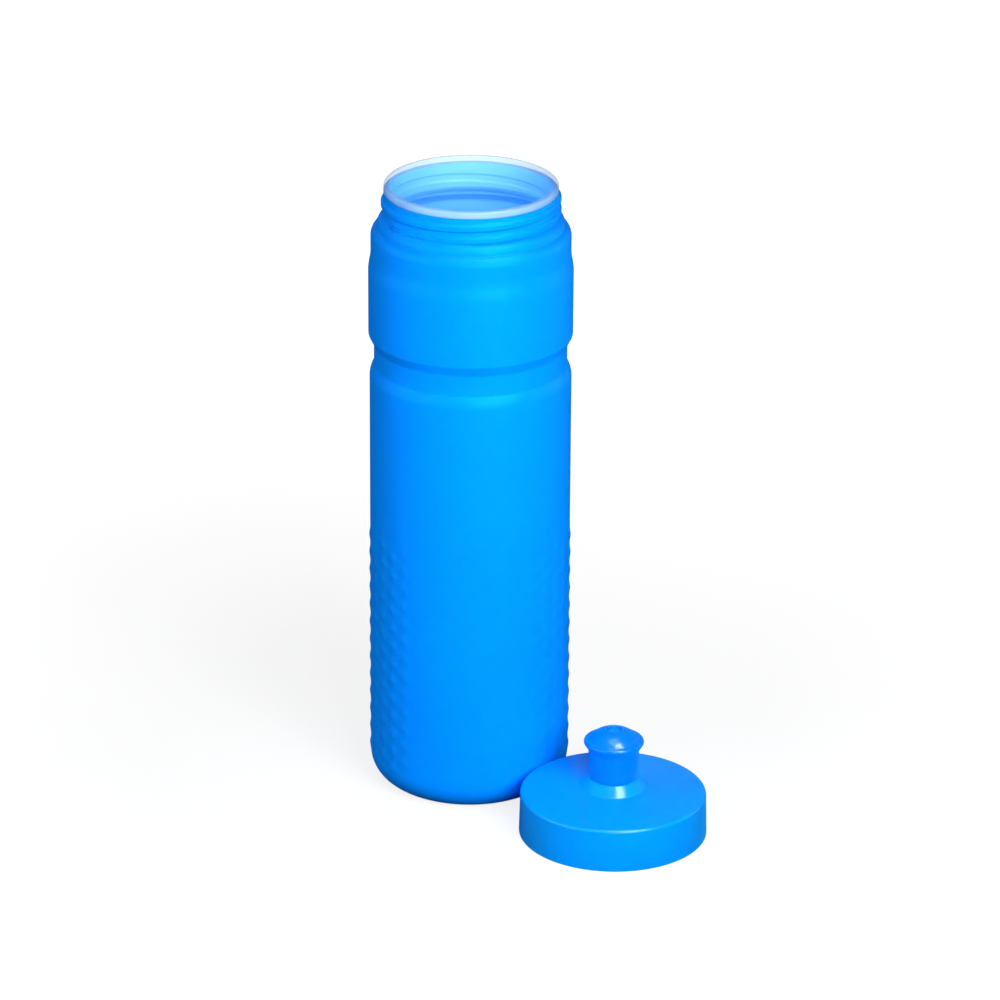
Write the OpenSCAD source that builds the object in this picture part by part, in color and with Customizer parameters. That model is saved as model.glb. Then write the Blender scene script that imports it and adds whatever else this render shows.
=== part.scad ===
// Squeeze sports bottle with a screw lid and a push-pull spout.
// The bottle stands on z = 0 about the Z axis. The lid stands on its own rim beside it.

/* [Bottle body] */
// Height from the table to the top of the lip
bottle_h = 232.3; // [215:0.1:260]
// Radius of the lower body
body_r = 36.5; // [35:0.5:38]
// Rounding between the base and the wall
corner_r = 11; // [6:1:16]
// Radius of the hollow in the middle of the base
recess_r = 17; // [10:1:20]
// Depth of the hollow in the base
recess_h = 1.6; // [0.8:0.2:3]
// Radius of the upper band
band_r = 36.9; // [35.5:0.1:38]
// Radius of the short band under the shoulder
collar_r = 36; // [35.5:0.1:37]
// Rounding of the shoulder's edge
shoulder_r = 4.2; // [3.6:0.1:5]
// Rounding of the roll between the shoulder and the neck
roll_r = 3.4; // [3:0.1:3.6]

/* [Waist groove] */
// Height at which the wall starts to turn into the groove
groove_low_z = 159.2; // [120:0.2:160]
// Height of the groove from the lower wall to the upper band
groove_h = 19; // [17:0.2:20]
// Radius at the bottom of the groove
groove_r = 34.9; // [34:0.1:35.5]
// Rounding of the lower edge
groove_low_round = 8.1; // [6:0.1:9]
// Rounding of the upper edge
groove_top_round = 11.4; // [9:0.1:12]

/* [Neck] */
// Outer radius of the neck between the threads
neck_r = 31.35; // [31:0.05:32]
// Radius of the mouth
mouth_r = 29.4; // [28:0.1:29.6]
// Height of the pale lip above the coloured neck
lip_h = 2.5; // [2:0.5:3]
// Height from the collar's top edge to the top of the lip
neck_h = 19.4; // [19:0.1:21]

/* [Thread] */
// Rise of the thread for each turn
thread_pitch = 4.5; // [3.5:0.5:4.5]
// Length of the bottle's thread in turns
thread_turns = 1.5; // [1:0.1:1.6]
// Height of a thread's crest above its root
thread_depth = 0.95; // [0.6:0.05:1.1]
// Width of a thread at its root
thread_w = 2.6; // [2:0.1:2.8]

/* [Walls] */
// Thickness of the coloured outer layer
shell_wall = 1; // [0.8:0.1:1.4]
// Thickness of the natural inner layer
liner_wall = 0.6; // [0.4:0.1:1]

/* [Lid] */
// Distance from the bottle's axis to the lid's axis
lid_gap = 71.5; // [71.5:0.1:90]
// Direction in which the lid stands from the bottle
lid_angle = -42.6; // [-180:1:180]
// Radius of the skirt at its rim
lid_r = 34.2; // [34:0.1:34.3]
// Height of the skirt to the edge of the top
lid_edge_z = 16.1; // [16:0.1:20]
// Height at which the boss starts
lid_crown_z = 18.5; // [17.5:0.1:20]
// Height of the boss
lid_boss_z = 22; // [21:0.1:23]
// Rounding of the lid's top edge
lid_round = 1.2; // [1:0.1:2.5]
// Inner radius of the skirt
lid_bore_r = 32.8; // [32.6:0.1:33]
// Thickness of the sealing washer
gasket_t = 1.9; // [1.5:0.1:1.9]

/* [Spout] */
// Distance that the spout pulls up to open
spout_travel = 5; // [3:0.5:5]
// Outer radius of the spout's neck where it meets the boss
spout_neck_r = 8.7; // [8.5:0.1:9]
// Widest radius of the spout's head
spout_head_r = 10.9; // [10.8:0.1:11.5]
// Height of the spout's top above the lid's rim
spout_top_z = 40.7; // [40.5:0.1:43]
// Radius of the drinking hole
spout_hole_r = 2.7; // [2.5:0.1:3]
// Running clearance between the spout and the post it slides on
spout_fit = 0.05; // [0.02:0.01:0.1]

/* [Hidden] */
$fn = 96;
over = 1;                        // how far a cut or a joint reaches past a surface
shell_top_z = bottle_h - lip_h;
collar_z = bottle_h - neck_h;
groove_top_z = groove_low_z + groove_h;
step_z = collar_z - 13.2;        // the upper band ends here
step_h = 7.5;                    // and eases to the collar over this height
foot_slope = 2;                  // width of the slope round the base's hollow
shoulder_turn = 52;              // angle through which the shoulder's edge turns
roll_edge_r = 33.7;              // the roll's outermost radius
roll_z = collar_z + 4.3;         // height of the roll's centre
roll_from = -10;                 // angle at which the roll rises from the shoulder
liner_neck_r = neck_r - shell_wall;
lip_round = 0.6;
thread_top_z = shell_top_z - 2.1;
thread_start_z = thread_top_z - thread_turns * thread_pitch;
thread_start_angle = 200;
crest_w = 1.1;                   // width of a thread at its crest
sink = 0.4;                      // how far a thread's root is sunk into its wall
fade = 0.06;                     // part of the thread's length that fades in or out
fade_sink = 0.25;                // how deep its crest sinks at the very ends
ring_steps = 40;                 // sections for each turn of thread
lid_x = lid_gap * cos(lid_angle);
lid_y = lid_gap * sin(lid_angle);
lid_top_r = lid_r - 0.4;         // the skirt draws in slightly towards its top
boss_foot_r = 12.4;
boss_top_r = spout_neck_r + 0.4;
lid_roof_z = 14;                 // the washer lies against the roof
lid_roof_t = 2;
plug_outer_r = mouth_r - 0.4;    // the plug ring enters the mouth
plug_wall = 1.2;
plug_z = 9.5;
gasket_outer_r = lid_bore_r - 0.4;
gasket_inner_r = plug_outer_r + 0.3;
gasket_gap = 0.1;
post_r = 6.95;                   // the post that the spout slides on
post_wall = 1.5;
post_top_z = 34;
bead = 0.5;                      // the bead on the post stops the spout
bead_flat = 0.6;                 // height of the bead's crest
bead_low_z = 31.6;
pin_r = spout_hole_r - 0.2;      // the pin closes the drinking hole
pin_top_z = spout_top_z - 0.6;
pin_low_z = 20.5;
pin_rib_z = 27;                  // top of the ribs that hold the pin
pin_rib_t = 1.2;
guide_z = 26.4;                  // top of the spout's close bore
spout_low_z = lid_boss_z + 0.1;
spout_room_r = post_r + bead + 0.25;
spout_roof_z = 36.2;
spout_flare_r = spout_neck_r + 0.55;
spout_flare_z = 32.9;            // the head starts to flare here
spout_head_z = spout_top_z - 4.9; // the head is widest here
head_round = 1.1;
head_turn = [-42, 80];           // angles through which the head's edge turns
dome_r = 12.5;
dome_angles = [41.4, 75.9];      // the dome runs from the head's edge to the hole's rim
lid_turns = 1.4;
lid_thread_z = 2.4;

// Points on an arc about c, from one angle to another
function arc(c, r, from, to, n) =
    [for (i = [0:n]) c + r * [cos(from + (to - from) * i / n), sin(from + (to - from) * i / n)]];

// Points on a soft S between two points, upright at both ends
function ease(a, b, n) =
    [for (i = [0:n]) [a.x + (b.x - a.x) * (1 - cos(180 * i / n)) / 2, a.y + (b.y - a.y) * i / n]];

// Angle at which an arc about cx of radius r reaches radius x
function reach(cx, r, x) = acos((x - cx) / r);

// Outline of the bottle moved inwards by t, with its neck at neck and its top at top_z
function bottle_outline(t, neck, top_z) = concat(
    [[0, top_z], [0, recess_h + t], [recess_r, recess_h + t], [recess_r + foot_slope, t]],
    arc([body_r - corner_r, corner_r], corner_r - t, -90, 0, 8),
    arc([body_r - groove_low_round, groove_low_z], groove_low_round - t, 0,
        reach(body_r - groove_low_round, groove_low_round - t, groove_r - t), 4),
    arc([band_r - groove_top_round, groove_top_z], groove_top_round - t,
        -reach(band_r - groove_top_round, groove_top_round - t, groove_r - t), 0, 4),
    ease([band_r - t, step_z], [collar_r - t, step_z + step_h], 6),
    arc([collar_r - shoulder_r, collar_z], shoulder_r - t, 0, shoulder_turn, 4),
    arc([roll_edge_r - roll_r, roll_z], roll_r - t, roll_from,
        neck > roll_edge_r - roll_r ? reach(roll_edge_r - roll_r, roll_r - t, neck) : 90, 5),
    [[neck, roll_z + roll_r], [neck, top_z]]);

// Depth of the thread at part u of its length, with both ends fading away
function thread_rise(u) = min(1, u / fade, (1 - u) / fade);

// One section of a thread: root, crest, crest, root; side is 1 outside a neck, -1 inside a lid
function thread_section(r, side, depth, a, z) =
    [for (p = [[-sink, -thread_w / 2], [-sink, thread_w / 2], [depth, crest_w / 2], [depth, -crest_w / 2]])
        [(r + side * p.x) * cos(a), (r + side * p.x) * sin(a), z + p.y]];

// A helical ridge on a wall of radius r
module thread(r, side, turns, z, start) {
    steps = round(turns * ring_steps);
    points = [for (i = [0:steps], p = thread_section(r, side,
        (thread_depth + fade_sink) * thread_rise(i / steps) - fade_sink,
        start + 360 * turns * i / steps, z + thread_pitch * turns * i / steps)) p];
    turned = side < 0;
    function quad(a, b, c, d) = turned ? [a, b, c, d] : [d, c, b, a];
    sides = [for (i = [0:steps - 1], j = [0:3])
        quad(4 * i + j, 4 * i + (j + 1) % 4, 4 * (i + 1) + (j + 1) % 4, 4 * (i + 1) + j)];
    ends = [quad(3, 2, 1, 0), quad(4 * steps, 4 * steps + 1, 4 * steps + 2, 4 * steps + 3)];
    polyhedron(points, concat(sides, ends), convexity = 6);
}

// Coloured outer layer: base, wall, groove, bands, shoulder and threaded neck
module bottle_shell() {
    color("#0a8cff") difference() {
        union() {
            rotate_extrude() polygon(bottle_outline(0, neck_r, shell_top_z));
            thread(neck_r, 1, thread_turns, thread_start_z, thread_start_angle);
        }
        rotate_extrude() polygon(bottle_outline(shell_wall, liner_neck_r, shell_top_z + over));
    }
}

// Natural inner layer, which stands above the neck as the lip
module inner_liner() {
    color("#e6f4fb") difference() {
        union() {
            rotate_extrude() polygon(bottle_outline(shell_wall, liner_neck_r, shell_top_z));
            rotate_extrude() polygon(concat(
                [[0, bottle_h], [0, shell_top_z - over], [liner_neck_r, shell_top_z - over],
                 [liner_neck_r, shell_top_z], [neck_r, shell_top_z]],
                arc([neck_r - lip_round, bottle_h - lip_round], lip_round, 0, 90, 4)));
        }
        rotate_extrude() polygon(bottle_outline(shell_wall + liner_wall, mouth_r, bottle_h + over));
    }
}

// Screw lid: skirt, crowned roof, boss, plug ring, and the post and pin inside the spout
module lid_shell() {
    outside = concat(
        [[0, 0], [lid_r, 0]],
        arc([lid_top_r - lid_round, lid_edge_z - lid_round], lid_round, 0, 84, 6),
        [[boss_foot_r, lid_crown_z], [boss_top_r, lid_boss_z], [0, lid_boss_z]]);
    inside = [[0, -over], [lid_bore_r, -over], [lid_bore_r, lid_roof_z],
        [plug_outer_r, lid_roof_z], [plug_outer_r, plug_z], [plug_outer_r - plug_wall, plug_z],
        [plug_outer_r - plug_wall, lid_roof_z], [boss_foot_r, lid_crown_z - lid_roof_t],
        [0, lid_crown_z - lid_roof_t]];
    color("#0a9bff") translate([lid_x, lid_y, 0]) {
        difference() {
            union() {
                difference() {
                    rotate_extrude() polygon(outside);
                    rotate_extrude() polygon(inside);
                }
                thread(lid_bore_r, -1, lid_turns, lid_thread_z, 0);
                translate([0, 0, lid_boss_z - over]) cylinder(r = post_r, h = post_top_z - lid_boss_z + over);
                translate([0, 0, bead_low_z]) post_bead();
            }
            cylinder(r = post_r - post_wall, h = post_top_z + over);
        }
        spout_pin();
    }
}

// Ring round the post that keeps the spout on it
module post_bead() {
    crest_z = bead + bead_flat;
    top_z = crest_z + 2 * bead;
    rotate_extrude() polygon([[post_r - over, 0], [post_r, 0], [post_r + bead, bead],
        [post_r + bead, crest_z], [post_r, top_z], [post_r - over, top_z]]);
}

// Pin on three ribs in the middle of the post, which closes the spout's hole
module spout_pin() {
    translate([0, 0, pin_low_z]) cylinder(r = pin_r, h = pin_top_z - pin_low_z);
    for (a = [0:120:240])
        rotate(a) translate([0, -pin_rib_t / 2, pin_low_z])
            cube([post_r - post_wall / 2, pin_rib_t, pin_rib_z - pin_low_z]);
}

// Silicone washer against the lid's roof, round the plug ring
module lid_gasket() {
    color("#eef2f4") translate([lid_x, lid_y, lid_roof_z - gasket_gap - gasket_t])
        difference() {
            cylinder(r = gasket_outer_r, h = gasket_t);
            translate([0, 0, -over]) cylinder(r = gasket_inner_r, h = gasket_t + 2 * over);
        }
}

// Push-pull spout: neck, flared head with a domed top, close bore, roomy bore and drinking hole
module spout() {
    outside = concat(
        [[0, spout_low_z], [spout_neck_r, spout_low_z], [spout_flare_r, spout_flare_z]],
        arc([spout_head_r - head_round, spout_head_z], head_round, head_turn[0], head_turn[1], 6),
        arc([0, spout_top_z - dome_r * sin(dome_angles[1])], dome_r, dome_angles[0], dome_angles[1], 5),
        [[0, spout_top_z]]);
    color("#067dff") translate([lid_x, lid_y, 0]) difference() {
        rotate_extrude() polygon(outside);
        translate([0, 0, spout_low_z - over])
            cylinder(r = post_r + spout_fit, h = guide_z - spout_low_z + 2 * over);
        translate([0, 0, guide_z]) cylinder(r = spout_room_r, h = spout_roof_z - guide_z);
        cylinder(r = spout_hole_r, h = spout_top_z + over);
    }
}

bottle_shell();
inner_liner();
lid_shell();
lid_gasket();
spout();
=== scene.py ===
import math

import bpy
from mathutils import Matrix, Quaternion, Vector


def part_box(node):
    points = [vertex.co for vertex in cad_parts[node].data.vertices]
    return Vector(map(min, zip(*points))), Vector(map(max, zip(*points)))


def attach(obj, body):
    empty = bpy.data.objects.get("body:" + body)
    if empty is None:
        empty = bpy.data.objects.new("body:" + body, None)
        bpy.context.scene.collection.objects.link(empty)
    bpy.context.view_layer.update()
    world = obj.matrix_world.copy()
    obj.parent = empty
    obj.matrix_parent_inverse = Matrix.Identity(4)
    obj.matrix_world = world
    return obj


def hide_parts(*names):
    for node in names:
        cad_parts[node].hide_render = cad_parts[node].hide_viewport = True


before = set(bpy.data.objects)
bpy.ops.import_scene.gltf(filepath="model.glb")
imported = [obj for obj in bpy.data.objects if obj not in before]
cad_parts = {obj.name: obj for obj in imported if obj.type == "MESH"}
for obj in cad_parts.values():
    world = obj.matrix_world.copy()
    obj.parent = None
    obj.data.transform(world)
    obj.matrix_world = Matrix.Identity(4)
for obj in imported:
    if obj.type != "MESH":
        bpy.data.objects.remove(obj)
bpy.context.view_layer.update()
mm = 0.001  # lengths below are in millimetres
smoothAngle = 38  # degrees; sharper edges than this stay crisp
weldGap = 0.004  # mm between points that the spin leaves on top of each other


# tools used by every piece

def look(hexColour):  # "#rrggbb" as seen on a screen, turned to linear
    parts = [int(hexColour[i:i + 2], 16) / 255 for i in (1, 3, 5)]
    return [c / 12.92 if c < 0.04045 else ((c + 0.055) / 1.055) ** 2.4 for c in parts] + [1.0]


def addNode(tree, kind, settings={}, links={}):
    # settings are attributes or input values, links go from an input's name to an output socket
    node = tree.nodes.new(kind)
    for name, value in settings.items():
        if isinstance(name, str) and hasattr(node, name):
            setattr(node, name, value)
        else:
            node.inputs[name].default_value = value
    for name, socket in links.items():
        tree.links.new(socket, node.inputs[name])
    return node


def newMaterial(name):
    material = bpy.data.materials.new(name)
    material.use_nodes = True
    material.node_tree.nodes.clear()
    return material, material.node_tree


def deselectAll():
    if bpy.context.mode != "OBJECT":
        bpy.ops.object.mode_set(mode="OBJECT")
    bpy.ops.object.select_all(action="DESELECT")


def arc(centre, radius, start, end, steps):  # points round an arc in the outline's plane, degrees
    angles = [math.radians(start + (end - start) * i / steps) for i in range(steps + 1)]
    return [(centre[0] + radius * math.cos(a), centre[1] + radius * math.sin(a)) for a in angles]


def softStep(a, b, steps):  # S curve between two outline points, upright at both ends
    points = []
    for i in range(steps + 1):
        t = i / steps
        points.append((a[0] + (b[0] - a[0]) * (1 - math.cos(math.pi * t)) / 2, a[1] + (b[1] - a[1]) * t))
    return points


def rows(a, b, steps):  # evenly spaced points on a straight line, without its ends
    return [(a[0] + (b[0] - a[0]) * i / steps, a[1] + (b[1] - a[1]) * i / steps) for i in range(1, steps)]


def rounded(points, radii, steps=4):  # a polyline whose corners are given small fillets, mm
    out = []
    for i, p in enumerate(points):
        r = radii[i] if i < len(radii) else 0
        if i == 0 or i == len(points) - 1 or not r:
            out.append(p)
            continue
        a, b, c = Vector(points[i - 1]), Vector(p), Vector(points[i + 1])
        u, v = (a - b).normalized(), (c - b).normalized()
        half = u.angle(v) / 2
        if half > math.radians(88):
            out.append(p)
            continue
        cut = min(r / math.tan(half), (a - b).length * 0.45, (c - b).length * 0.45)
        r = cut * math.tan(half)
        centre = b + (u + v).normalized() * r / math.sin(half)
        start, end = b + u * cut - centre, b + v * cut - centre
        first = math.atan2(start.y, start.x)
        sweep = (math.atan2(end.y, end.x) - first + math.pi) % (2 * math.pi) - math.pi
        out += arc(centre, r, math.degrees(first), math.degrees(first + sweep), steps)
    return out


def lathe(name, outline, steps, axis=(0, 0), closed=False):
    # a chain of vertices is extruded along the outline (mm) and spun round the upright axis
    deselectAll()
    bpy.ops.mesh.primitive_plane_add(size=mm, location=(0, 0, 0))
    piece = bpy.context.object
    piece.name = name
    bpy.ops.object.mode_set(mode="EDIT")
    bpy.ops.mesh.select_mode(type="VERT")
    bpy.ops.mesh.select_all(action="SELECT")
    bpy.ops.mesh.merge(type="CENTER")
    bpy.ops.mesh.select_all(action="SELECT")
    bpy.ops.transform.translate(value=(outline[0][0] * mm, 0, outline[0][1] * mm))
    for a, b in zip(outline, outline[1:]):
        step = ((b[0] - a[0]) * mm, 0, (b[1] - a[1]) * mm)
        bpy.ops.mesh.extrude_region_move(TRANSFORM_OT_translate={"value": step})
    bpy.ops.mesh.select_all(action="SELECT")
    if closed:
        bpy.ops.mesh.remove_doubles(threshold=weldGap / 2 * mm)
    bpy.ops.mesh.spin(steps=steps, angle=2 * math.pi, center=(0, 0, 0), axis=(0, 0, 1))
    bpy.ops.mesh.select_all(action="SELECT")
    bpy.ops.mesh.remove_doubles(threshold=weldGap * mm)
    bpy.ops.transform.translate(value=(axis[0], axis[1], 0))
    bpy.ops.mesh.normals_make_consistent(inside=False)
    bpy.ops.object.mode_set(mode="OBJECT")
    return piece


def weighByPlace(piece, name, rule):  # paints a vertex group from each vertex's place in mm
    group = piece.vertex_groups.new(name=name)
    for vertex in piece.data.vertices:
        weight = rule(vertex.co / mm)
        if weight > 0.001:
            group.add([vertex.index], min(weight, 1.0), "REPLACE")
    return group


def pushOut(piece, group, height):  # moves the painted part along its normals, mm
    push = piece.modifiers.new(group, "DISPLACE")
    push.vertex_group = group
    push.mid_level = 0
    push.strength = height * mm
    push.direction = "NORMAL"
    deselectAll()
    bpy.context.view_layer.objects.active = piece
    bpy.ops.object.modifier_apply(modifier=push.name)


def finishPiece(piece, body, material, slotName, *nodes):
    deselectAll()
    piece.select_set(True)
    bpy.context.view_layer.objects.active = piece
    bpy.ops.object.shade_smooth_by_angle(angle=math.radians(smoothAngle))
    piece.data.materials.clear()
    piece.data.materials.append(material)
    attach(piece, body)
    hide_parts(*nodes)
    print(piece.name, "done,", sum(len(f.vertices) - 2 for f in piece.data.polygons), "triangles")


def threadWeight(settings):
    # closeness to the crest of a right-hand helix, fading away over its last few degrees
    def rule(place):
        east, north = place.x - settings["axis"][0] / mm, place.y - settings["axis"][1] / mm
        turn = math.degrees(math.atan2(north, east))
        along = (turn - settings["startAngle"]) % 360
        best = 0
        while along <= settings["turns"] * 360:
            crest = settings["startHeight"] + settings["pitch"] * along / 360
            away = abs(place.z - crest) / (settings["width"] / 2)
            ends = min(1, along / settings["fade"], (settings["turns"] * 360 - along) / settings["fade"])
            if away < 1:
                flat = min(1, (1 - away) / (1 - settings["crest"]))
                best = max(best, (1 - math.cos(math.pi * flat)) / 2 * (1 - math.cos(math.pi * ends)) / 2)
            along += 360
        return best
    return rule


# materials

def grain(tree, place, size, strength, depth, detail=3):
    # bumps from fine noise, size and depth in mm
    noise = addNode(tree, "ShaderNodeTexNoise", {"Scale": 1 / (size * mm), "Detail": detail},
                    {"Vector": place})
    return addNode(tree, "ShaderNodeBump", {"Strength": strength, "Distance": depth * mm},
                   {"Height": noise.outputs["Fac"]})


def tinted(tree, place, dark, light, size):
    # a slow change between two close colours, as melt that cooled unevenly
    noise = addNode(tree, "ShaderNodeTexNoise", {"Scale": 1 / (size * mm), "Detail": 2}, {"Vector": place})
    return addNode(tree, "ShaderNodeMix", {"data_type": "RGBA", 6: look(dark), 7: look(light)},
                   {0: noise.outputs["Fac"]}).outputs[2]  # a mix node's sockets 6, 7 and 2 are its colours


def squeezeBottlePlastic():
    # blow-moulded low-density polyethylene, tinted through: a soft satin sheen, and light that bleeds a
    # little way in the wall
    material, tree = newMaterial("blueSatinPolyethylene")
    place = addNode(tree, "ShaderNodeTexCoord").outputs["Object"]
    colour = tinted(tree, place, "#0083fa", "#008aff", 35)
    skin = grain(tree, place, 0.9, 0.12, 0.05)  # sandblasted mould, drawn three times as coarse as it is
    shader = addNode(tree, "ShaderNodeBsdfPrincipled",
                     {"Roughness": 0.5, "IOR": 1.51, "Specular IOR Level": 0.1,
                      "Specular Tint": look("#2f9dff"), "Subsurface Weight": 0.4,
                      "Subsurface Radius": (0.3, 0.8, 1.2), "Subsurface Scale": 1.0 * mm},
                     {"Base Color": colour, "Normal": skin.outputs["Normal"]})
    # light that enters and leaves just under the skin keeps the plastic's own blue, as a broad soft sheen
    haze = addNode(tree, "ShaderNodeBsdfAnisotropic", {"Color": look("#14b4ff"), "Roughness": 0.5},
                   {"Normal": skin.outputs["Normal"]})
    both = addNode(tree, "ShaderNodeMixShader", {0: 0.055},
                   {1: shader.outputs["BSDF"], 2: haze.outputs["BSDF"]})
    addNode(tree, "ShaderNodeOutputMaterial", {}, {"Surface": both.outputs["Shader"]})
    return material


def naturalPlastic(settings):
    # untinted polyethylene: milky and half see-through, so it takes on the colour of what stands behind it;
    # its thin wall also shines with a painted glow
    material, tree = newMaterial("naturalMilkyPolyethyleneWithPaintedGlow")
    place = addNode(tree, "ShaderNodeTexCoord").outputs["Object"]
    height = addNode(tree, "ShaderNodeSeparateXYZ", {}, {"Vector": place}).outputs["Z"]
    lip = addNode(tree, "ShaderNodeMapRange",
                  {"interpolation_type": "SMOOTHSTEP", "From Min": (shell["neckTop"] - 0.8) * mm,
                   "From Max": (shell["neckTop"] + 0.4) * mm}, {"Value": height})
    thin = tinted(tree, place, "#84d2f2", "#92daf6", 30)
    thick = tinted(tree, place, "#9cc2dc", "#aacee6", 30)
    colour = addNode(tree, "ShaderNodeMix", {"data_type": "RGBA"},
                     {0: lip.outputs[0], 6: thin, 7: thick}).outputs[2]
    milk = addNode(tree, "ShaderNodeMapRange",
                   {"To Min": settings["wallMilk"], "To Max": settings["lipMilk"]}, {"Value": lip.outputs[0]})
    paintedGlow = addNode(tree, "ShaderNodeMapRange", {"To Min": settings["paintedGlow"], "To Max": 0},
                       {"Value": lip.outputs[0]})  # painted glow on the thin wall, standing in for the light it would let in from outside; none at the lip
    skin = grain(tree, place, 1.2, 0.08, 0.04)
    # the emission colour and strength below are painted light: the thin wall glows by itself, with no lamp
    # behind it
    shader = addNode(tree, "ShaderNodeBsdfPrincipled",
                     {"Roughness": 0.36, "IOR": 1.51, "Specular IOR Level": 0.2,
                      "Emission Color": look("#2f9fd8"), "Subsurface Weight": 0.2,
                      "Subsurface Radius": (0.8, 0.9, 1.0), "Subsurface Scale": 1.0 * mm},
                     {"Base Color": colour, "Alpha": milk.outputs[0],
                      "Emission Strength": paintedGlow.outputs[0], "Normal": skin.outputs["Normal"]})
    addNode(tree, "ShaderNodeOutputMaterial", {}, {"Surface": shader.outputs["BSDF"]})
    return material


def lidPlastic(name, dark, light, roughness):
    # injection-moulded polypropylene from a polished mould: smoother and glossier than the bottle
    material, tree = newMaterial(name)
    place = addNode(tree, "ShaderNodeTexCoord").outputs["Object"]
    colour = tinted(tree, place, dark, light, 25)
    skin = grain(tree, place, 2.5, 0.06, 0.03, 2)  # the faint waviness of a cooled moulding
    shader = addNode(tree, "ShaderNodeBsdfPrincipled",
                     {"Roughness": roughness, "IOR": 1.49, "Specular IOR Level": 0.15,
                      "Specular Tint": look("#5cb4ff"), "Sheen Weight": 0.65, "Sheen Roughness": 0.5,
                      "Sheen Tint": look("#0aa0ff"), "Subsurface Weight": 0.5,
                      "Subsurface Radius": (0.3, 1.6, 3.0), "Subsurface Scale": 1.0 * mm,
                      "Coat Weight": 0.27, "Coat Roughness": 0.17},
                     {"Base Color": colour, "Normal": skin.outputs["Normal"]})
    addNode(tree, "ShaderNodeOutputMaterial", {}, {"Surface": shader.outputs["BSDF"]})
    return material


def sealSilicone():
    # compression-moulded silicone: soft, milky, with a dry low sheen
    material, tree = newMaterial("clearWhiteSilicone")
    place = addNode(tree, "ShaderNodeTexCoord").outputs["Object"]
    colour = tinted(tree, place, "#dfe6ea", "#eef3f5", 12)
    skin = grain(tree, place, 0.6, 0.15, 0.03)
    shader = addNode(tree, "ShaderNodeBsdfPrincipled",
                     {"Roughness": 0.55, "IOR": 1.41, "Subsurface Weight": 0.5,
                      "Subsurface Radius": (2.0, 2.4, 2.8), "Subsurface Scale": 1.0 * mm},
                     {"Base Color": colour, "Normal": skin.outputs["Normal"]})
    addNode(tree, "ShaderNodeOutputMaterial", {}, {"Surface": shader.outputs["BSDF"]})
    return material


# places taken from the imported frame

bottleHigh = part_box("inner_liner")[1]
lidLow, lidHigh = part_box("lid_shell")
lidAxis = ((lidLow[0] + lidHigh[0]) / 2, (lidLow[1] + lidHigh[1]) / 2)
gasketLow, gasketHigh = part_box("lid_gasket")
lipTop = bottleHigh[2] / mm

bottleThread = {"axis": (0, 0), "startAngle": 200, "startHeight": lipTop - 11.35, "pitch": 4.5, "turns": 1.5,
                "width": 3.4, "crest": 0.45, "fade": 24, "height": 0.95}
lidThread = {"axis": lidAxis, "startAngle": 0, "startHeight": 2.4, "pitch": 4.5, "turns": 1.4,
             "width": 2.7, "crest": 0.3, "fade": 20, "height": 0.95}


# bottle shell

shell = {
    "segments": 216, "bodyRadius": 36.5, "cornerRadius": 11, "recessRadius": 17, "recessHeight": 1.6,
    "baseSoft": 2, "grooveRadius": 34.9, "grooveLow": 159.2, "lowRound": 8.1, "grooveTop": 176.25,
    "topRound": 2, "topSlope": 27, "grooveSoft": 1.2,
    "bandRadius": 36.9, "stepHeight": lipTop - 32.6, "stepLength": 7.5, "collarRadius": 36,
    "shoulderHeight": lipTop - 19.4, "shoulderRound": 4.2, "shoulderTurn": 52,
    "rollEdge": 33.7, "rollHeight": lipTop - 15.1, "rollRound": 3.4, "rollFrom": -10, "ledgeSoft": 0.8,
    "neckRadius": 31.35, "neckTop": lipTop - 2.5, "wall": 1.0,
    "gripLow": 12.5, "gripHigh": 101, "gripPitch": 7, "gripColumns": 36, "gripSize": 2.9, "gripHeight": 0.38,
    "gripFull": 46, "gripEnd": 60,
}


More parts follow.
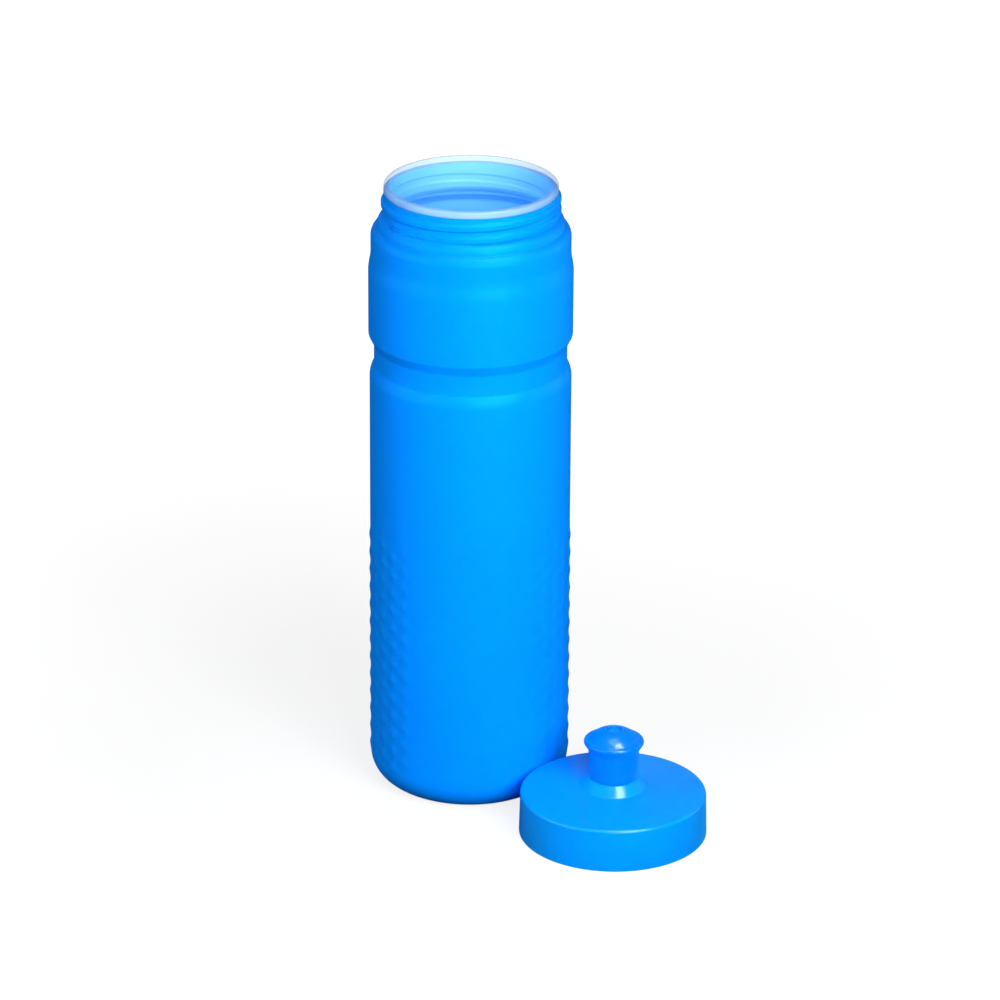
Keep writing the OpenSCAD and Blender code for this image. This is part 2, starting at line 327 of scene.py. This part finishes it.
def bottleOutline(s, inset, neckRadius, neckTop, gripRows, neckRows):
    # the body's upright outline, moved inwards by inset, from the middle of the base to the neck's top, mm
    def reach(centre, radius, x):
        return math.degrees(math.acos((x - centre) / radius))

    foot = s["recessRadius"]
    base = rounded([(0, s["recessHeight"] + inset), (foot, s["recessHeight"] + inset), (foot + 2, inset),
                    (s["bodyRadius"] - s["cornerRadius"], inset)], [0, s["baseSoft"], s["baseSoft"]])
    base = [base[0]] + rows(base[0], base[1], 5) + base[1:-1]
    corner = arc((s["bodyRadius"] - s["cornerRadius"], s["cornerRadius"]), s["cornerRadius"] - inset,
                 -90, 0, 14)
    wall = s["bodyRadius"] - inset
    gripTop = s["gripHigh"] + 3
    low = (s["bodyRadius"] - s["lowRound"], s["grooveLow"])
    top = (s["bandRadius"] - s["topRound"], s["grooveTop"])
    floor = s["grooveRadius"] - inset
    lowFlank = arc(low, s["lowRound"] - inset, 0, reach(low[0], s["lowRound"] - inset, floor), 7)
    edge = arc(top, s["topRound"] - inset, -s["topSlope"], 0, 5)
    foot = edge[0][1] - (edge[0][0] - floor) / math.tan(math.radians(s["topSlope"]))
    topFlank = [(floor, foot)] + rows((floor, foot), edge[0], 4) + edge
    a, b = lowFlank[-1], topFlank[0]
    groove = rounded([lowFlank[-2], a, b, topFlank[1]], [0, s["grooveSoft"], s["grooveSoft"]], 3)[1:-1]
    band = (s["bandRadius"] - inset, s["stepHeight"])
    collar = (s["collarRadius"] - inset, s["stepHeight"] + s["stepLength"])
    turn = arc((s["collarRadius"] - s["shoulderRound"], s["shoulderHeight"]), s["shoulderRound"] - inset, 0,
               s["shoulderTurn"], 7)
    middle = s["rollEdge"] - s["rollRound"]
    end = reach(middle, s["rollRound"] - inset, neckRadius) if neckRadius > middle else 90
    roll = arc((middle, s["rollHeight"]), s["rollRound"] - inset, s["rollFrom"], end, 9)
    ledge = rounded([turn[-2], turn[-1], roll[0], roll[1]], [0, s["ledgeSoft"], s["ledgeSoft"]], 3)[1:-1]
    root = rounded([roll[-2], roll[-1], (neckRadius, s["rollHeight"] + s["rollRound"] + 0.1),
                    (neckRadius, neckTop)], [0, 0.4, 0.3], 3)[1:-1]
    return (base + corner + rows(corner[-1], (wall, gripTop), gripRows)
            + rows((wall, gripTop), lowFlank[0], 7) + lowFlank[:-1] + groove + topFlank[1:]
            + rows(topFlank[-1], band, 4) + softStep(band, collar, 9) + rows(collar, turn[0], 3) + turn[:-1]
            + ledge + roll[1:-1] + root + rows(root[-1], (neckRadius, neckTop), neckRows)
            + [(neckRadius, neckTop)])


def gripWeight(s):
    # soft round studs in staggered columns on the two sides where a hand closes; the front and back are plain
    def rule(place):
        if not s["gripLow"] - s["gripSize"] < place.z < s["gripHigh"] + s["gripSize"]:
            return 0
        turn = math.degrees(math.atan2(place.y, place.x))
        side = min(abs(turn), 180 - abs(turn))
        mask = min(1, max(0, (s["gripEnd"] - side) / (s["gripEnd"] - s["gripFull"])))
        if not mask:
            return 0
        width = 360 / s["gripColumns"]
        best = 0
        for column in (math.floor(turn / width), math.floor(turn / width) + 1):
            shift = s["gripPitch"] / 2 if column % 2 else 0
            row = round((place.z - s["gripLow"] - shift) / s["gripPitch"])
            height = s["gripLow"] + shift + row * s["gripPitch"]
            if s["gripLow"] <= height <= s["gripHigh"]:
                across = math.radians(turn - column * width) * s["bodyRadius"]
                away = math.hypot(across, place.z - height) / s["gripSize"]
                if away < 1:
                    best = max(best, (1 + math.cos(math.pi * away)) / 2)
        return best * mask
    return rule


def makeBottleShell(s):
    outline = bottleOutline(s, 0, s["neckRadius"], s["neckTop"], 78, 40)
    piece = lathe("bottleShell", outline, s["segments"])
    weighByPlace(piece, "thread", threadWeight(bottleThread))
    weighByPlace(piece, "grip", gripWeight(s))
    pushOut(piece, "thread", bottleThread["height"])
    pushOut(piece, "grip", s["gripHeight"])
    wall = piece.modifiers.new("wall", "SOLIDIFY")
    wall.thickness = s["wall"] * mm
    wall.offset = -1
    bpy.ops.object.modifier_apply(modifier=wall.name)
    piece.vertex_groups.clear()
    finishPiece(piece, "bottle", squeezeBottlePlastic(), "shell_blue", "bottle_shell")
    return piece


bottleShell = makeBottleShell(shell)


# natural inner layer with the lip

# paintedGlow is the emission strength of the thin wall's painted glow
liner = {"segments": 192, "gap": 0.03, "wall": 0.6, "mouthRadius": 29.4, "lipRadius": 31.35, "lipRound": 0.7,
         "ripple": 0.5, "wallMilk": 0.4, "lipMilk": 0.4, "paintedGlow": 0.42}


def makeInnerLiner(s):
    outer = bottleOutline(shell, shell["wall"] + s["gap"], shell["neckRadius"] - shell["wall"] - s["gap"],
                          shell["neckTop"] + s["gap"], 12, 6)
    inner = bottleOutline(shell, shell["wall"] + s["wall"], s["mouthRadius"], lipTop, 12, 56)
    lip = rounded([outer[-1], (s["lipRadius"], shell["neckTop"] + s["gap"]), (s["lipRadius"], lipTop),
                   (s["mouthRadius"], lipTop), inner[-2]], [0, 0.2, s["lipRound"], s["lipRound"]], 6)
    piece = lathe("innerLiner", outer + lip[1:-1] + inner[-2::-1], s["segments"])
    inside = threadWeight(bottleThread)
    weighByPlace(piece, "ripple", lambda place: inside(place) if math.hypot(place.x, place.y) < 29.6 else 0)
    pushOut(piece, "ripple", -s["ripple"])  # the mould's thread shows through as a hollow in the bore
    piece.vertex_groups.clear()
    finishPiece(piece, "bottle", naturalPlastic(s), "liner_natural", "inner_liner")
    return piece


innerLiner = makeInnerLiner(liner)


# screw lid

lid = {"segments": 192, "rimRadius": 34.2, "topRadius": 33.8, "edgeHeight": 16.1, "edgeRound": 1.2,
       "crownHeight": 18.5, "bossHeight": 22, "bossFoot": 12.4, "bossRadius": 9.1,
       "postRadius": 6.95, "postBore": 5.45, "postTop": 34, "beadHeight": 31.6, "bead": 0.5,
       "skirtBore": 32.8, "roofHeight": 14, "roofWall": 2, "plugRadius": 29, "plugWall": 1.2,
       "plugHeight": 9.5,
       "pinSegments": 48, "pinRadius": 2.5, "pinLow": 20.5, "pinTop": 40.1, "ribTop": 27, "ribWidth": 1.2}


def makeLidShell(s):
    edge = (s["topRadius"] - s["edgeRound"], s["edgeHeight"] - s["edgeRound"])
    skirt = rounded([(s["skirtBore"], 1.2), (s["skirtBore"], 0), (s["rimRadius"], 0),
                     (s["topRadius"], edge[1])], [0, 0.3, 0.5], 4)
    top = arc(edge, s["edgeRound"], 0, 85, 12)
    crown = rows(top[-1], (s["bossFoot"], s["crownHeight"]), 8)
    post = rounded([crown[-1], (s["bossFoot"], s["crownHeight"]), (s["bossRadius"], s["bossHeight"]),
                    (s["postRadius"], s["bossHeight"]),
                    (s["postRadius"], s["beadHeight"]), (s["postRadius"] + s["bead"], s["beadHeight"] + 0.5),
                    (s["postRadius"] + s["bead"], s["beadHeight"] + 1.1),
                    (s["postRadius"], s["postTop"] - 0.4),
                    (s["postRadius"] - 0.3, s["postTop"]), (s["postBore"], s["postTop"]),
                    (s["postBore"], s["crownHeight"] - s["roofWall"]),
                    (s["bossFoot"], s["crownHeight"] - s["roofWall"]),
                    (s["plugRadius"] - s["plugWall"], s["roofHeight"]),
                    (s["plugRadius"] - s["plugWall"], s["plugHeight"]), (s["plugRadius"], s["plugHeight"]),
                    (s["plugRadius"], s["roofHeight"]), (s["skirtBore"], s["roofHeight"]),
                    (s["skirtBore"], 9.8)],
                   [0, 1.2, 0.5, 0.3, 0.2, 0.2, 0.2, 0.3, 0.15, 0.2, 0.4, 0.5, 0.4, 0.3, 0.3, 0.3, 0.4, 0], 4)
    bore = rows(post[-1], skirt[0], 40)
    piece = lathe("lidShell", skirt + top + crown + post[1:] + bore + [skirt[0]], s["segments"],
                  lidAxis, closed=True)
    inside = threadWeight(lidThread)
    boreLimit = s["skirtBore"] + 0.05

    def rule(place):
        away = math.hypot(place.x - lidAxis[0] / mm, place.y - lidAxis[1] / mm)
        return inside(place) if s["plugRadius"] + 1 < away < boreLimit and place.z > 1 else 0

    weighByPlace(piece, "thread", rule)
    pushOut(piece, "thread", lidThread["height"])
    piece.vertex_groups.clear()
    return piece


def makeSpoutPin(s):
    outline = rounded([(0, s["pinLow"]), (s["pinRadius"], s["pinLow"]), (s["pinRadius"], s["pinTop"]),
                       (0, s["pinTop"])], [0, 0.4, 0.5, 0], 3)
    return lathe("spoutPin", outline, s["pinSegments"], lidAxis)


def makePinRib(s, angle):
    deselectAll()
    reachOut = (s["postBore"] + s["postRadius"]) / 2
    bpy.ops.mesh.primitive_cube_add(size=1, location=(0, 0, 0))
    rib = bpy.context.object
    rib.name = "pinRib"
    bpy.ops.object.mode_set(mode="EDIT")
    bpy.ops.transform.resize(value=(reachOut * mm, s["ribWidth"] * mm, (s["ribTop"] - s["pinLow"]) * mm))
    bpy.ops.transform.translate(value=(reachOut / 2 * mm, 0, (s["ribTop"] + s["pinLow"]) / 2 * mm))
    bpy.ops.mesh.bevel(offset=0.2 * mm, segments=2, affect="EDGES")
    bpy.ops.transform.rotate(value=math.radians(-angle), orient_axis="Z", center_override=(0, 0, 0))
    bpy.ops.transform.translate(value=(lidAxis[0], lidAxis[1], 0))
    bpy.ops.object.mode_set(mode="OBJECT")
    return rib


def fuse(piece, part):
    union = piece.modifiers.new("fuse", "BOOLEAN")
    union.operation = "UNION"
    union.solver = "EXACT"
    union.object = part
    deselectAll()
    bpy.context.view_layer.objects.active = piece
    bpy.ops.object.modifier_apply(modifier=union.name)
    bpy.data.objects.remove(part, do_unlink=True)


lidShell = makeLidShell(lid)
spoutPin = makeSpoutPin(lid)
for turn in (0, 120, 240):
    fuse(spoutPin, makePinRib(lid, turn))
fuse(lidShell, spoutPin)
finishPiece(lidShell, "lid", lidPlastic("blueGlossPolypropylene", "#0088f6", "#0090fc", 0.3), "lid_blue",
            "lid_shell")


# sealing washer

washer = {"segments": 144, "edge": 0.35, "plugGap": 0.3, "bead": 0.15, "beadHalf": 0.8}


def makeGasket(s):
    low, high = gasketLow[2] / mm, gasketHigh[2] / mm
    outer = (gasketHigh[0] - gasketLow[0]) / 2 / mm
    inner = lid["plugRadius"] + s["plugGap"]
    face = low + s["bead"]  # a raised bead stands out of the sealing side
    middle = (outer + inner) / 2
    ring = rounded([(middle, high), (inner, high), (inner, face), (middle - s["beadHalf"], face),
                    (middle, low), (middle + s["beadHalf"], face), (outer, face), (outer, high),
                    (middle + 0.1, high)],
                   [0, s["edge"], s["edge"], 0.3, 0.4, 0.3, s["edge"], s["edge"]], 4)
    piece = lathe("lidGasket", ring + [ring[0]], s["segments"], lidAxis, closed=True)
    finishPiece(piece, "seal", sealSilicone(), "seal_silicone", "lid_gasket")
    return piece


lidGasket = makeGasket(washer)


# push-pull spout

spoutSizes = {"segments": 128, "neckRadius": 8.7, "low": 22.1, "flareRadius": 9.25, "flareHeight": 32.9,
              "headRadius": 10.9, "headHeight": 35.8, "headRound": 1.1, "domeRadius": 12.5, "domeFrom": 41.4,
              "domeTo": 75.9, "top": 40.7, "hole": 2.7, "closeBore": 7.0, "closeTop": 26.4, "room": 7.7,
              "roof": 36.2}


def makeSpout(s):
    head = arc((s["headRadius"] - s["headRound"], s["headHeight"]), s["headRound"], -42, 80, 12)
    dome = arc((0, s["top"] - s["domeRadius"] * math.sin(math.radians(s["domeTo"]))), s["domeRadius"],
               s["domeFrom"], s["domeTo"], 10)
    neck = rounded([(s["closeBore"], s["low"] + 1), (s["closeBore"], s["low"]), (s["neckRadius"], s["low"]),
                    (s["flareRadius"], s["flareHeight"]), head[0], head[1]], [0, 0.3, 0.3, 1.6, 0.5], 4)
    edge = rounded([head[-2], head[-1], dome[0], dome[1]], [0, 0.4, 0.8], 3)[1:-1]
    inside = rounded([dome[-1], (s["hole"] + 0.1, s["top"]), (s["hole"], s["top"] - 0.6),
                      (s["hole"], s["roof"]), (s["room"], s["roof"]), (s["room"], s["closeTop"]),
                      (s["closeBore"], s["closeTop"] - 0.4), neck[0]],
                     [0, 0.3, 0.2, 0.3, 0.6, 0.2, 0.2], 3)
    piece = lathe("pushPullSpout", neck[:-1] + head[1:-1] + edge + dome[1:] + inside[1:], s["segments"],
                  lidAxis, closed=True)
    finishPiece(piece, "spout", lidPlastic("blueGlossSpoutPlastic", "#0070f3", "#0078f8", 0.32), "spout_blue",
                "spout")
    return piece


spoutPiece = makeSpout(spoutSizes)


# floor, light and camera

# nearGlow and farGlow set the floor's painted glow, dimmer by the object and brighter far away
studio = {"floorSize": 9.0, "nearGlow": 0.81, "farGlow": 1.02, "floorShade": 0.2, "floorBounce": 0.05,
          "worldColour": "#ffffff", "worldLight": 0.12,
          "key": {"azimuth": 19, "height": 20, "distance": 0.5, "size": 0.26, "power": 2.9},
          "side": {"azimuth": 36, "height": 22, "distance": 0.7, "size": 0.25, "power": 2.0},
          "fill": {"azimuth": -60, "height": 22, "distance": 1.2, "size": 1.0, "power": 7.2},
          "edge": {"azimuth": 100, "height": 12, "distance": 1.2, "size": 0.8, "power": 0.4},
          "left": {"azimuth": -88, "height": 8, "distance": 1.2, "size": 0.8, "power": 2.0},
          "back": {"azimuth": 172, "height": 6, "distance": 1.3, "size": 0.6, "power": 4.0,
                   "matteOnly": True},
          "bossGlint": {"azimuth": 40, "height": 58, "distance": 0.8, "size": 0.28, "power": 11,
                        "sheenOnly": True},
          "topGlint": {"azimuth": 8, "height": 80, "distance": 0.8, "size": 0.4, "power": 4,
                       "sheenOnly": True},
          "rimGlint": {"azimuth": 112, "height": 9, "distance": 0.8, "size": 0.2, "power": 0.6,
                       "sheenOnly": True},
          "mouth": {"azimuth": -4, "height": 46, "distance": 0.7, "aim": (-2, 24, 224), "beam": 4.6,
                    "power": 26},
          "pitch": 22.8, "lookAt": (10.9, 0, 109.9), "distance": 2006.8, "focal": 198, "sensor": 36,
          "roll": 0.33}


def makeFloor(s):
    deselectAll()
    bpy.ops.mesh.primitive_grid_add(x_subdivisions=8, y_subdivisions=8, size=s["floorSize"],
                                    location=(0, 0, 0))
    floor = bpy.context.object
    floor.name = "studioFloor"
    material, tree = newMaterial("glowFloorWithPaintedFalloff")  # a floor that glows for the camera, dimmer near the object and brighter far off: painted light that makes up for the lamps falling off with distance; shadows on it stay faint
    place = addNode(tree, "ShaderNodeTexCoord").outputs["Object"]
    # painted light: the glow rises with distance from the object, from nearGlow to farGlow, in place of lamp
    # light that falls off
    away = addNode(tree, "ShaderNodeVectorMath", {"operation": "LENGTH"}, {0: place})
    level = addNode(tree, "ShaderNodeMapRange", {"From Min": 0.12, "From Max": 0.5, "To Min": s["nearGlow"],
                                                 "To Max": s["farGlow"]}, {"Value": away.outputs["Value"]})
    light = addNode(tree, "ShaderNodeLightPath")
    strength = addNode(tree, "ShaderNodeMath", {"operation": "MULTIPLY"},
                       {0: light.outputs["Is Camera Ray"], 1: level.outputs[0]})
    glow = addNode(tree, "ShaderNodeEmission", {}, {"Strength": strength.outputs["Value"]})
    depth = addNode(tree, "ShaderNodeMapRange", {"To Min": s["floorBounce"], "To Max": s["floorShade"]},
                    {"Value": light.outputs["Is Camera Ray"]})
    shade = addNode(tree, "ShaderNodeBsdfDiffuse", {}, {"Color": depth.outputs[0]})
    both = addNode(tree, "ShaderNodeAddShader", {}, {0: glow.outputs[0], 1: shade.outputs[0]})
    addNode(tree, "ShaderNodeOutputMaterial", {}, {"Surface": both.outputs[0]})
    floor.data.materials.append(material)
    return floor


def makeLight(name, s):
    turn, rise = math.radians(s["azimuth"]), math.radians(s["height"])
    target = Vector(s.get("aim", (10, 0, 110))) * mm
    away = Vector((math.sin(turn) * math.cos(rise), -math.cos(turn) * math.cos(rise), math.sin(rise)))
    bpy.ops.object.light_add(type="SPOT" if "beam" in s else "AREA", location=target + away * s["distance"])
    lamp = bpy.context.object
    lamp.name = name
    if "beam" in s:
        lamp.data.spot_size = math.radians(s["beam"])
        lamp.data.spot_blend = 0.6
        lamp.data.shadow_soft_size = 0.03
    else:
        lamp.data.shape = "SQUARE"
        lamp.data.size = s["size"]
    lamp.visible_diffuse = not s.get("sheenOnly", False)
    lamp.visible_glossy = not s.get("matteOnly", False)
    lamp.visible_camera = False
    lamp.data.energy = s["power"]
    lamp.rotation_euler = away.to_track_quat("Z", "Y").to_euler()
    return lamp


def makeCamera(s):
    pitch = math.radians(s["pitch"])
    target = Vector(s["lookAt"]) * mm
    away = Vector((0, -math.cos(pitch), math.sin(pitch)))
    bpy.ops.object.camera_add(location=target + away * s["distance"] * mm)
    camera = bpy.context.object
    camera.name = "studioCamera"
    level = away.to_track_quat("Z", "Y")
    camera.rotation_euler = (level @ Quaternion((0, 0, 1), math.radians(s["roll"]))).to_euler()
    camera.data.lens = s["focal"]
    camera.data.sensor_width = s["sensor"]
    camera.data.clip_end = 50
    bpy.context.scene.camera = camera
    return camera


makeFloor(studio)
for lampName in ("key", "side", "fill", "edge", "left", "back", "bossGlint", "topGlint", "rimGlint", "mouth"):
    makeLight(lampName + "Light", studio[lampName])
makeCamera(studio)

world = bpy.data.worlds.new("studioWorld")
world.use_nodes = True
world.node_tree.nodes.clear()
sky = addNode(world.node_tree, "ShaderNodeBackground", {"Color": look(studio["worldColour"]),
                                                        "Strength": studio["worldLight"]})
addNode(world.node_tree, "ShaderNodeOutputWorld", {}, {"Surface": sky.outputs[0]})
bpy.context.scene.world = world
bpy.context.scene.view_settings.view_transform = "Standard"
deselectAll()
print("studio done")
